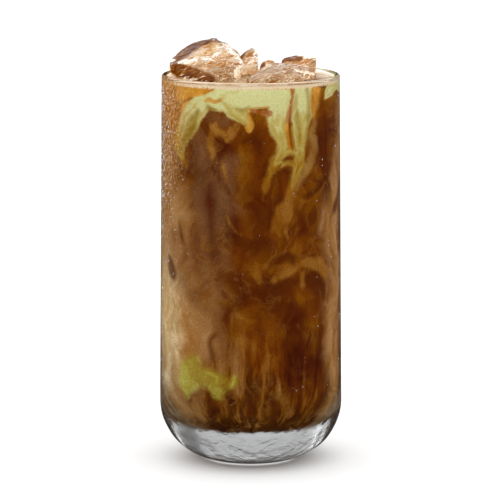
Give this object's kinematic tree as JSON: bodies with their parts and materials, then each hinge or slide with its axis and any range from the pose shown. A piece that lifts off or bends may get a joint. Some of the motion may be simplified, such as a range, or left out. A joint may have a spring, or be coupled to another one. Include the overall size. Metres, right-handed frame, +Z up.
{
  "type": "iced matcha latte",
  "caption": "Tall straight tumbler with a thick rounded base, filled almost to the rim with brown latte, pale matcha curtains down the inside of the wall and ice standing out of the top.",
  "frame": {"origin": "centre of the tumbler's foot, on the plane it stands on", "axes": "+Z up along the tumbler's axis, -Y towards the viewer of the picture, +X to the viewer's right"},
  "size_m": [0.0688, 0.0688, 0.159],
  "materials": {
    "glass": "clear polished glass",
    "latte": "opaque milky coffee, wet",
    "matcha": "opaque milky matcha, wet",
    "ice": "clear melting ice, tinted by the drink"
  },
  "bodies": {
    "root": {"glass": "glass", "latte": "latte", "matcha_front": "matcha", "matcha_back": "matcha", "matcha_bloom": "matcha", "ice_left": "ice", "ice_middle": "ice", "ice_right": "ice", "ice_back": "ice", "ice_small": "ice", "ice_chip": "ice"}
  },
  "joints": []
}
